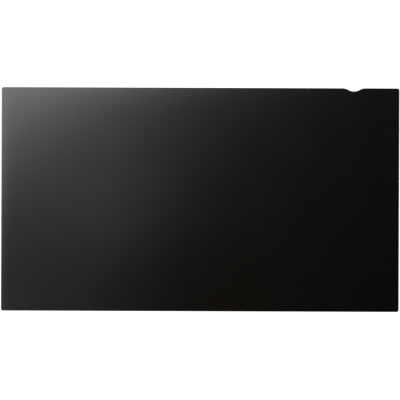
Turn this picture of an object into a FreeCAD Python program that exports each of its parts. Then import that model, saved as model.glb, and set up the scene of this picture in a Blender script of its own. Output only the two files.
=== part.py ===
# Frameless privacy filter for a 24-inch widescreen monitor.
#
# The filter is one die-cut sheet of laminated louvre film. It lies flat on its back face with the
# matte front face up: +X runs across its width, +Y points to its top edge, and +Z points out of its
# front. The origin is the middle of the back face. A shallow thumb notch near the right end of the
# top edge lets a fingertip lift the sheet out of a monitor's bezel.

import FreeCAD
import Part
import Sketcher

import math
import os

PARTS_FOLDER = "parts"

# Alias in the sheet, size in millimetres, and what it measures.
DRIVING_SIZES = (
    ("sheet_width", 531.0, "overall width of the sheet"),
    ("sheet_height", 298.5, "overall height of the sheet"),
    ("sheet_thickness", 0.55, "thickness of the laminated film"),
    ("corner_radius", 3.0, "radius of the four outer corners"),
    ("notch_inset", 60.7, "right edge of the sheet to the middle of the notch"),
    ("notch_depth", 4.2, "top edge of the sheet to the bottom of the notch"),
    ("notch_radius", 15.0, "radius of the hollow of the notch"),
    ("shoulder_radius", 15.0, "radius that leads the top edge into the notch"),
    ("edge_roll", 0.1, "radius that the die leaves round the front edge"),
)


def add_size_sheet(doc):
    """The spreadsheet that holds the driving dimensions, one aliased cell each."""
    sheet = doc.addObject("Spreadsheet::Sheet", "sizes")
    for row, (alias, millimetres, meaning) in enumerate(DRIVING_SIZES, start=1):
        sheet.set(f"A{row}", meaning)
        sheet.set(f"B{row}", str(millimetres))
        sheet.setAlias(f"B{row}", alias)
    doc.recompute()
    return sheet


def origin_plane(body, role):
    """One of a body's own origin planes, by its role."""
    return next(plane for plane in body.Origin.OriginFeatures if plane.Role == role)


def line(start, end):
    return Part.LineSegment(FreeCAD.Vector(*start), FreeCAD.Vector(*end))


def arc(centre, radius, first_angle, last_angle):
    """An arc that runs anticlockwise from the first angle to the last."""
    circle = Part.Circle(FreeCAD.Vector(*centre), FreeCAD.Vector(0, 0, 1), radius)
    return Part.ArcOfCircle(circle, first_angle, last_angle)


def add_outline_geometry(sketch, sizes):
    """Draws the die line anticlockwise from the bottom edge and returns each element's index by name."""
    right = sizes.sheet_width / 2
    top = sizes.sheet_height / 2
    corner = sizes.corner_radius
    hollow = sizes.notch_radius
    shoulder = sizes.shoulder_radius

    # The hollow's centre stands above the top edge and each shoulder's centre lies below it.
    # The arcs touch on the line between their centres.
    notch_x = right - sizes.notch_inset
    hollow_rise = hollow - sizes.notch_depth
    centre_rise = hollow_rise + shoulder
    reach = math.sqrt((hollow + shoulder) ** 2 - centre_rise**2)
    lean = math.atan2(centre_rise, reach)

    quarter = math.pi / 2
    elements = {
        "bottom": line((corner - right, -top, 0), (right - corner, -top, 0)),
        "bottom_right": arc((right - corner, corner - top, 0), corner, -quarter, 0),
        "right": line((right, corner - top, 0), (right, top - corner, 0)),
        "top_right": arc((right - corner, top - corner, 0), corner, 0, quarter),
        "top_beside_notch": line((right - corner, top, 0), (notch_x + reach, top, 0)),
        "right_shoulder": arc((notch_x + reach, top - shoulder, 0), shoulder, quarter, math.pi - lean),
        "hollow": arc((notch_x, top + hollow_rise, 0), hollow, lean - math.pi, -lean),
        "left_shoulder": arc((notch_x - reach, top - shoulder, 0), shoulder, lean, quarter),
        "top": line((notch_x - reach, top, 0), (corner - right, top, 0)),
        "top_left": arc((corner - right, top - corner, 0), corner, quarter, math.pi),
        "left": line((-right, top - corner, 0), (-right, corner - top, 0)),
        "bottom_left": arc((corner - right, corner - top, 0), corner, math.pi, 3 * quarter),
    }
    return {name: sketch.addGeometry(shape, False) for name, shape in elements.items()}


def constrain_outline(sketch, index):
    """Joins the elements smoothly and ties the die line's sizes to the sheet's cells."""
    first, last, centre = 1, 2, 3
    origin, origin_point = -1, 1

    def constrain(kind, *arguments):
        return sketch.addConstraint(Sketcher.Constraint(kind, *arguments))

    # Every arc is drawn anticlockwise, so the loop runs along the hollow from its last end to its first.
    names = list(index)
    for name, following in zip(names, names[1:] + names[:1]):
        leaves = first if name == "hollow" else last
        enters = last if following == "hollow" else first
        constrain("Tangent", index[name], leaves, index[following], enters)

    for name in ("bottom", "top_beside_notch", "top"):
        constrain("Horizontal", index[name])
    for name in ("left", "right"):
        constrain("Vertical", index[name])
    for name in ("bottom_left", "top_left", "top_right"):
        constrain("Equal", index["bottom_right"], index[name])
    constrain("Equal", index["right_shoulder"], index["left_shoulder"])
    constrain("PointOnObject", index["top_beside_notch"], first, index["top"])

    def tie_radius(name, expression):
        number = constrain("Radius", index[name], sketch.Geometry[index[name]].Radius)
        sketch.setExpression(f"Constraints[{number}]", expression)

    def tie_from_origin(direction, name, point, expression):
        place = sketch.getPoint(index[name], point)
        offset = place.x if direction == "DistanceX" else place.y
        number = constrain(direction, origin, origin_point, index[name], point, offset)
        sketch.setExpression(f"Constraints[{number}]", expression)

    tie_from_origin("DistanceX", "right", first, "sizes.sheet_width / 2")
    tie_from_origin("DistanceX", "left", first, "-sizes.sheet_width / 2")
    tie_from_origin("DistanceY", "top", last, "sizes.sheet_height / 2")
    tie_from_origin("DistanceY", "bottom", first, "-sizes.sheet_height / 2")
    tie_radius("bottom_right", "sizes.corner_radius")

    notch_place = "sizes.sheet_width / 2 - sizes.notch_inset"
    hollow_height = "sizes.sheet_height / 2 - sizes.notch_depth + sizes.notch_radius"
    tie_from_origin("DistanceX", "hollow", centre, notch_place)
    tie_from_origin("DistanceY", "hollow", centre, hollow_height)
    tie_radius("hollow", "sizes.notch_radius")
    tie_radius("right_shoulder", "sizes.shoulder_radius")


def face_furthest_up(shape):
    """Name of the face whose centre lies highest."""
    heights = [face.CenterOfMass.z for face in shape.Faces]
    return f"Face{heights.index(max(heights)) + 1}"


def add_filter_sheet(doc, sizes):
    """The sheet: its die line raised to the film's thickness, with the front edge rolled by the die."""
    body = doc.addObject("PartDesign::Body", "filter_sheet")
    body.Label = "filter_sheet"

    outline = body.newObject("Sketcher::SketchObject", "die_line")
    outline.AttachmentSupport = (origin_plane(body, "XY_Plane"), [""])
    outline.MapMode = "FlatFace"
    constrain_outline(outline, add_outline_geometry(outline, sizes))

    film = body.newObject("PartDesign::Pad", "film")
    film.Profile = outline
    film.setExpression("Length", "sizes.sheet_thickness")
    doc.recompute()

    rolled = body.newObject("PartDesign::Fillet", "rolled_front_edge")
    rolled.Base = (film, [face_furthest_up(film.Shape)])
    rolled.setExpression("Radius", "sizes.edge_roll")
    doc.recompute()
    return body


def check_document(doc, sub_parts):
    """Stops before anything is written if an object failed or a sub-part has no sound solid."""
    for item in doc.Objects:
        if {"Invalid", "Error"} & set(item.State):
            raise RuntimeError(f"{item.Label} did not recompute: {item.State}")
    for sub_part in sub_parts:
        shape = sub_part.Shape
        if shape.isNull() or not shape.isValid() or len(shape.Solids) != 1:
            raise RuntimeError(f"{sub_part.Label} is not one sound solid")


def main():
    doc = FreeCAD.newDocument("privacy_filter")
    sizes = add_size_sheet(doc)
    sub_parts = [add_filter_sheet(doc, sizes)]
    check_document(doc, sub_parts)

    os.makedirs(PARTS_FOLDER, exist_ok=True)
    for sub_part in sub_parts:
        sub_part.Shape.exportStep(os.path.join(PARTS_FOLDER, f"{sub_part.Label}.step"))
        box = sub_part.Shape.optimalBoundingBox(False)
        print(f"{sub_part.Label}: {box.XLength:.2f} x {box.YLength:.2f} x {box.ZLength:.2f} mm")


main()
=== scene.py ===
# Looks of a frameless privacy filter for a widescreen monitor.
#
# The filter is one black sheet of louvre film that lies on a pale floor with its satin front face up.
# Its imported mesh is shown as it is, and takes the film's material here. Lengths are in metres, in the
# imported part's frame: +X across the sheet, +Y to its top edge and +Z out of its front.

import math
from typing import NamedTuple

import bpy
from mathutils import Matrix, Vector


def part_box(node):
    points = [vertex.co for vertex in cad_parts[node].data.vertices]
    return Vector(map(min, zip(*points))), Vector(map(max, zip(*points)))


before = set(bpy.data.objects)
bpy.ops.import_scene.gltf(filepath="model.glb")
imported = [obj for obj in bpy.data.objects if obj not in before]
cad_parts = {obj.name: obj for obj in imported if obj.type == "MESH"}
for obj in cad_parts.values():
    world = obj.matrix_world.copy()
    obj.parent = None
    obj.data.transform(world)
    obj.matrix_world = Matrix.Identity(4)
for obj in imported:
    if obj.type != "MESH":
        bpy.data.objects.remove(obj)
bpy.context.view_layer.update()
sheet_low, sheet_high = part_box("filter_sheet")
sheet_centre = (sheet_low + sheet_high) / 2
scene = bpy.context.scene

# Where the sheet stands in the photograph's square frame, in its pixels.
IMAGE_SIDE_PX = 400.0
SHEET_WIDTH_PX = 397.75
SHEET_RIGHT_OF_MIDDLE_PX = 0.13
SHEET_ABOVE_MIDDLE_PX = 0.48
SHEET_TURN_CLOCKWISE_DEG = 0.21

LENS_MM = 85.0
SENSOR_MM = 36.0

# The floor lies a hair under the sheet, so that no two faces share a plane.
FLOOR_SIDE = 60.0
FLOOR_DROP = 0.00002
FLOOR_COLOUR = (0.8, 0.8, 0.8, 1.0)

# The floor glows, so that it is white where the lamps leave it grey. It glows less near the sheet, where
# the sheet's shadow shows.
NEAR_GLOW, FAR_GLOW = 0.62, 0.97
NEAR_GLOW_UP_TO, FAR_GLOW_FROM = 0.4, 2.0

# The room is white up to this height above the horizon, and darkens from there to its ceiling.
WHITE = (1.0, 1.0, 1.0, 1.0)
WHITE_UP_TO_DEG = 5.0
DARKENING = 3.0
CEILING_LEVEL = 0.01


class Softbox(NamedTuple):
    """A rectangular lamp that faces the middle of the sheet."""

    name: str
    place: tuple
    width: float
    height: float
    radiance: float


SOFTBOXES = (
    Softbox("key_softbox", (-0.80, 0.90, 2.00), 1.80, 1.30, 5.40),
    Softbox("fill_softbox", (-0.50, -0.60, 0.75), 0.80, 0.55, 1.25),
)


class Fall(NamedTuple):
    """How the film leans down to an edge, or up where below zero, and how far in that reaches."""

    lean_deg: float
    reach: float


LEFT_FALL = Fall(4.0, 0.005)
TOP_FALL = Fall(2.0, 0.020)
RIGHT_FALL = Fall(-1.7, 0.010)
BOTTOM_FALL = Fall(-1.5, 0.025)
# The bottom edge's lean dies away from the left corner over this length.
BOTTOM_FALL_FADE = 0.30


class Swell(NamedTuple):
    """A broad round rise of the film: its middle, how far out it is steepest, and its lean there."""

    x: float
    y: float
    radius: float
    lean_deg: float


# The film isn't quite flat left of its middle: a hollow, with a lean below zero, lies beside a rise.
HOLLOW = Swell(-0.20, -0.08, 0.12, -0.8)
RISE = Swell(-0.06, -0.09, 0.08, 1.5)

# A swell's bell curve is e to the power of this times the squared distance, in radii, from its middle.
BELL_RATE = -0.5

# The surface is cut where its normal's Z is within the first of these of zero. Past the second it is the
# film's front, or its back where Z is below zero.
FLAT_FROM, FLAT_TO = 0.75, 0.97


class Tone(NamedTuple):
    """A black of the film, or of its painted sheen tint, from its deepest to its palest."""

    deep: tuple
    pale: tuple


# A warm brown tint of the sheen is painted into the front's black about the middle of its width; towards
# its ends the black is neutral. The one fades into the other between these distances from the middle.
FRONT_ENDS = Tone((0.0018, 0.0018, 0.0018, 1.0), (0.0028, 0.0028, 0.0028, 1.0))
FRONT_SHEEN_TINT = Tone((0.0031, 0.0018, 0.0006, 1.0), (0.0041, 0.0028, 0.0016, 1.0))
SHEEN_TINT_AT = -0.02
SHEEN_TINT_FULL_UP_TO, SHEEN_TINT_GONE_FROM = 0.09, 0.20

BACK = Tone((0.0026, 0.0024, 0.0023, 1.0), (0.0035, 0.0033, 0.0032, 1.0))
CUT = Tone((0.0070, 0.0065, 0.0060, 1.0), (0.0150, 0.0145, 0.0140, 1.0))

# The front is satin, the back smoother, and the cut that the die leaves is dull.
FRONT_ROUGHNESS, BACK_ROUGHNESS, CUT_ROUGHNESS = 0.26, 0.17, 0.48
FILM_IOR = 1.5


class Marks(NamedTuple):
    """Marks of one kind: the size of a mark along X, Y and Z, and how much it changes the surface."""

    size: tuple
    amount: float


# Changes of the film's roughness, either way.
CLOUDS = Marks((0.06, 0.05, 0.05), 0.012)
STREAKS = Marks((0.0035, 0.12, 0.12), 0.010)
ROUGHNESS_DETAIL = 3.0

# Heights of the faces' fine relief: the coat's peel and grain, and the louvres that show through it.
PEEL = Marks((0.005, 0.005, 0.005), 14e-6)
GRAIN = Marks((0.0009, 0.0009, 0.0009), 12e-6)
LOUVRES = Marks((0.0014, 0.09, 0.09), 6e-6)

# Height of the scores that the die leaves down the cut.
DIE_MARKS = Marks((0.0004, 0.0004, 0.004), 5e-6)
RELIEF_DETAIL = 2.0

# For a node whose own scale isn't needed, because its input is in the right unit as it is.
UNSCALED = 1.0


class Shader:
    """A node tree, with short calls for the nodes that the materials share."""

    def __init__(self, owner):
        owner.use_nodes = True
        self.tree = owner.node_tree

    def add(self, kind, **settings):
        node = self.tree.nodes.new(kind)
        for name, value in settings.items():
            setattr(node, name, value)
        return node

    def feed(self, socket, source):
        """Gives an input socket a plain value or another node's output."""
        if isinstance(source, bpy.types.NodeSocket):
            self.tree.links.new(source, socket)
        else:
            socket.default_value = source

    def maths(self, operation, first, second=0.0):
        node = self.add("ShaderNodeMath", operation=operation)
        self.feed(node.inputs[0], first)
        self.feed(node.inputs[1], second)
        return node.outputs["Value"]

    def total(self, terms):
        result = terms[0]
        for term in terms[1:]:
            result = self.maths("ADD", result, term)
        return result

    def ramp(self, source, low, high, at_low, at_high, shape="SMOOTHSTEP"):
        """The source's way from low to high, turned into a way between two other values."""
        node = self.add("ShaderNodeMapRange", interpolation_type=shape)
        self.feed(node.inputs["Value"], source)
        self.feed(node.inputs["From Min"], low)
        self.feed(node.inputs["From Max"], high)
        self.feed(node.inputs["To Min"], at_low)
        self.feed(node.inputs["To Max"], at_high)
        return node.outputs["Result"]

    def mix(self, factor, first, second):
        """A blend of two colours."""
        node = self.add("ShaderNodeMix", data_type="RGBA")
        self.feed(node.inputs["Factor"], factor)
        colours = [socket for socket in node.inputs if socket.type == "RGBA"]
        self.feed(colours[0], first)
        self.feed(colours[1], second)
        return next(socket for socket in node.outputs if socket.type == "RGBA")

    def split(self, vector):
        node = self.add("ShaderNodeSeparateXYZ")
        self.feed(node.inputs["Vector"], vector)
        return node.outputs["X"], node.outputs["Y"], node.outputs["Z"]

    def noise(self, place, size, detail):
        """Cloudy marks of that size along each axis, about 0.5 on the whole."""
        stretch = self.add("ShaderNodeVectorMath", operation="DIVIDE")
        self.feed(stretch.inputs[0], place)
        self.feed(stretch.inputs[1], size)
        node = self.add("ShaderNodeTexNoise")
        self.feed(node.inputs["Vector"], stretch.outputs["Vector"])
        self.feed(node.inputs["Scale"], UNSCALED)
        self.feed(node.inputs["Detail"], detail)
        return node.outputs["Fac"]

    def bump(self, height, strength, under=None):
        """The normal of a relief whose height is in metres, on top of another relief's normal."""
        node = self.add("ShaderNodeBump")
        self.feed(node.inputs["Strength"], strength)
        self.feed(node.inputs["Distance"], UNSCALED)
        self.feed(node.inputs["Height"], height)
        if under is not None:
            self.feed(node.inputs["Normal"], under)
        return node.outputs["Normal"]


def add_camera():
    """A long lens straight above the sheet, framed as the photograph frames it."""
    metres_per_px = (sheet_high.x - sheet_low.x) / SHEET_WIDTH_PX
    distance = IMAGE_SIDE_PX * metres_per_px * LENS_MM / SENSOR_MM
    camera_data = bpy.data.cameras.new("camera")
    camera_data.lens = LENS_MM
    camera_data.sensor_width = SENSOR_MM
    camera = bpy.data.objects.new("camera", camera_data)
    camera.location = (
        sheet_centre.x - SHEET_RIGHT_OF_MIDDLE_PX * metres_per_px,
        sheet_centre.y - SHEET_ABOVE_MIDDLE_PX * metres_per_px,
        sheet_high.z + distance,
    )
    camera.rotation_euler = (0.0, 0.0, math.radians(SHEET_TURN_CLOCKWISE_DEG))
    scene.collection.objects.link(camera)
    scene.camera = camera


def add_softbox(softbox):
    lamp = bpy.data.lights.new(softbox.name, "AREA")
    lamp.shape = "RECTANGLE"
    lamp.size = softbox.width
    lamp.size_y = softbox.height
    lamp.energy = softbox.radiance * math.pi * softbox.width * softbox.height
    holder = bpy.data.objects.new(softbox.name, lamp)
    holder.location = softbox.place
    holder.rotation_mode = "QUATERNION"
    holder.rotation_quaternion = (sheet_centre - Vector(softbox.place)).to_track_quat("-Z", "Y")
    holder.visible_camera = False
    scene.collection.objects.link(holder)


def set_world():
    """A room that is white along the horizon and dark overhead."""
    world = bpy.data.worlds.new("room")
    shader = Shader(world)
    _, _, rise = shader.split(shader.add("ShaderNodeTexCoord").outputs["Generated"])
    white_up_to = math.sin(math.radians(WHITE_UP_TO_DEG))
    wall = shader.maths("POWER", shader.ramp(rise, white_up_to, 1.0, 1.0, 0.0, "LINEAR"), DARKENING)
    background = shader.tree.nodes["Background"]
    shader.feed(background.inputs["Color"], WHITE)
    shader.feed(background.inputs["Strength"], shader.maths("MAXIMUM", wall, CEILING_LEVEL))
    scene.world = world


def floor_material():
    """Pale in the lamps' light, and white to the camera and in what mirrors it."""
    material = bpy.data.materials.new("floor")
    shader = Shader(material)
    shader.tree.nodes.clear()
    ray = shader.add("ShaderNodeLightPath")
    seen = shader.maths("MAXIMUM", ray.outputs["Is Camera Ray"], ray.outputs["Is Glossy Ray"])
    seen = shader.maths("MAXIMUM", seen, ray.outputs["Is Transmission Ray"])
    pale = shader.add("ShaderNodeBsdfDiffuse")
    shader.feed(pale.inputs["Color"], FLOOR_COLOUR)
    length = shader.add("ShaderNodeVectorMath", operation="LENGTH")
    shader.feed(length.inputs[0], shader.add("ShaderNodeTexCoord").outputs["Object"])
    from_middle = length.outputs["Value"]
    level = shader.ramp(from_middle, NEAR_GLOW_UP_TO, FAR_GLOW_FROM, NEAR_GLOW, FAR_GLOW)
    glow = shader.add("ShaderNodeEmission")
    shader.feed(glow.inputs["Strength"], shader.maths("MULTIPLY", seen, level))
    both = shader.add("ShaderNodeAddShader")
    shader.feed(both.inputs[0], pale.outputs["BSDF"])
    shader.feed(both.inputs[1], glow.outputs["Emission"])
    output = shader.add("ShaderNodeOutputMaterial")
    shader.feed(output.inputs["Surface"], both.outputs["Shader"])
    return material


def add_floor():
    half = FLOOR_SIDE / 2
    height = sheet_low.z - FLOOR_DROP
    corners = [
        (-half, -half, height),
        (half, -half, height),
        (half, half, height),
        (-half, half, height),
    ]
    mesh = bpy.data.meshes.new("floor")
    mesh.from_pydata(corners, [], [(0, 1, 2, 3)])
    mesh.materials.append(floor_material())
    floor = bpy.data.objects.new("floor", mesh)
    scene.collection.objects.link(floor)


def fall_height(shader, distance, fall):
    """Height of the film by its distance from an edge that it falls towards."""
    decay = shader.maths("EXPONENT", shader.maths("DIVIDE", distance, -fall.reach))
    return shader.maths("MULTIPLY", decay, -math.radians(fall.lean_deg) * fall.reach)


def swell_height(shader, x, y, swell):
    """Height of the film by its place on a swell, which has the form of a bell curve."""
    across = shader.maths("DIVIDE", shader.maths("SUBTRACT", x, swell.x), swell.radius)
    along = shader.maths("DIVIDE", shader.maths("SUBTRACT", y, swell.y), swell.radius)
    squares = [shader.maths("MULTIPLY", way, way) for way in (across, along)]
    bell = shader.maths("EXPONENT", shader.maths("MULTIPLY", shader.total(squares), BELL_RATE))
    top = math.radians(swell.lean_deg) * swell.radius * math.exp(-BELL_RATE)
    return shader.maths("MULTIPLY", bell, top)


def film_relief(shader, x, y):
    """Height of the film where it isn't quite flat: near its edges, in the hollow and on the rise."""
    from_left = shader.maths("SUBTRACT", x, sheet_low.x)
    from_right = shader.maths("SUBTRACT", sheet_high.x, x)
    from_bottom = shader.maths("SUBTRACT", y, sheet_low.y)
    from_top = shader.maths("SUBTRACT", sheet_high.y, y)
    fade = shader.maths("EXPONENT", shader.maths("DIVIDE", from_left, -BOTTOM_FALL_FADE))
    heights = [
        fall_height(shader, from_left, LEFT_FALL),
        fall_height(shader, from_right, RIGHT_FALL),
        fall_height(shader, from_top, TOP_FALL),
        shader.maths("MULTIPLY", fall_height(shader, from_bottom, BOTTOM_FALL), fade),
        swell_height(shader, x, y, HOLLOW),
        swell_height(shader, x, y, RISE),
    ]
    return shader.total(heights)


def raised(shader, noise, height):
    """A noise as a height in metres."""
    return shader.maths("MULTIPLY", noise, height)


def changed(shader, noise, amount):
    """A noise as a change of up to that amount either way."""
    return shader.ramp(noise, 0.0, 1.0, -amount, amount, "LINEAR")


def toned(shader, noise, tone):
    """A noise as a colour between a tone's deepest and palest."""
    return shader.mix(noise, tone.deep, tone.pale)


def film_material():
    """Black louvre film: a satin front, a smoother back and a dull cut."""
    material = bpy.data.materials.new("louvre_film")
    shader = Shader(material)
    place = shader.add("ShaderNodeTexCoord")
    here = place.outputs["Object"]
    x, y, _ = shader.split(here)
    _, _, upright = shader.split(place.outputs["Normal"])
    front = shader.ramp(upright, FLAT_FROM, FLAT_TO, 0.0, 1.0)
    back = shader.ramp(upright, -FLAT_FROM, -FLAT_TO, 0.0, 1.0)
    flat = shader.maths("ADD", front, back)
    cut = shader.maths("SUBTRACT", 1.0, flat)

    surface = shader.tree.nodes["Principled BSDF"]
    surface.inputs["IOR"].default_value = FILM_IOR

    clouds = shader.noise(here, CLOUDS.size, ROUGHNESS_DETAIL)
    streaks = shader.noise(here, STREAKS.size, ROUGHNESS_DETAIL)
    die_marks = shader.noise(here, DIE_MARKS.size, RELIEF_DETAIL)

    # Painted sheen tint: a warm brown laid into the front's black about the middle of its width, fading
    # to neutral towards its ends.
    from_middle = shader.maths("ABSOLUTE", shader.maths("SUBTRACT", x, SHEEN_TINT_AT))
    middle = shader.ramp(from_middle, SHEEN_TINT_FULL_UP_TO, SHEEN_TINT_GONE_FROM, 1.0, 0.0)
    ends_colour = toned(shader, clouds, FRONT_ENDS)
    sheen_tint_colour = toned(shader, clouds, FRONT_SHEEN_TINT)
    front_colour = shader.mix(middle, ends_colour, sheen_tint_colour)
    face_colour = shader.mix(back, front_colour, toned(shader, clouds, BACK))
    colour = shader.mix(cut, face_colour, toned(shader, die_marks, CUT))
    shader.feed(surface.inputs["Base Color"], colour)

    roughness = shader.total([
        shader.maths("MULTIPLY", front, FRONT_ROUGHNESS),
        shader.maths("MULTIPLY", back, BACK_ROUGHNESS),
        shader.maths("MULTIPLY", cut, CUT_ROUGHNESS),
        changed(shader, clouds, CLOUDS.amount),
        changed(shader, streaks, STREAKS.amount),
    ])
    shader.feed(surface.inputs["Roughness"], roughness)

    fine_heights = []
    for marks in (PEEL, GRAIN, LOUVRES):
        noise = shader.noise(here, marks.size, RELIEF_DETAIL)
        fine_heights.append(raised(shader, noise, marks.amount))
    normal = shader.bump(film_relief(shader, x, y), flat)
    normal = shader.bump(shader.total(fine_heights), flat, normal)
    normal = shader.bump(raised(shader, die_marks, DIE_MARKS.amount), cut, normal)
    shader.feed(surface.inputs["Normal"], normal)
    return material


def dress_sheet():
    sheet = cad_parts["filter_sheet"]
    slot = sheet.material_slots[0]
    slot.link = "OBJECT"
    slot.material = film_material()


scene.view_settings.view_transform = "Standard"
add_camera()
set_world()
add_floor()
for softbox in SOFTBOXES:
    add_softbox(softbox)
dress_sheet()
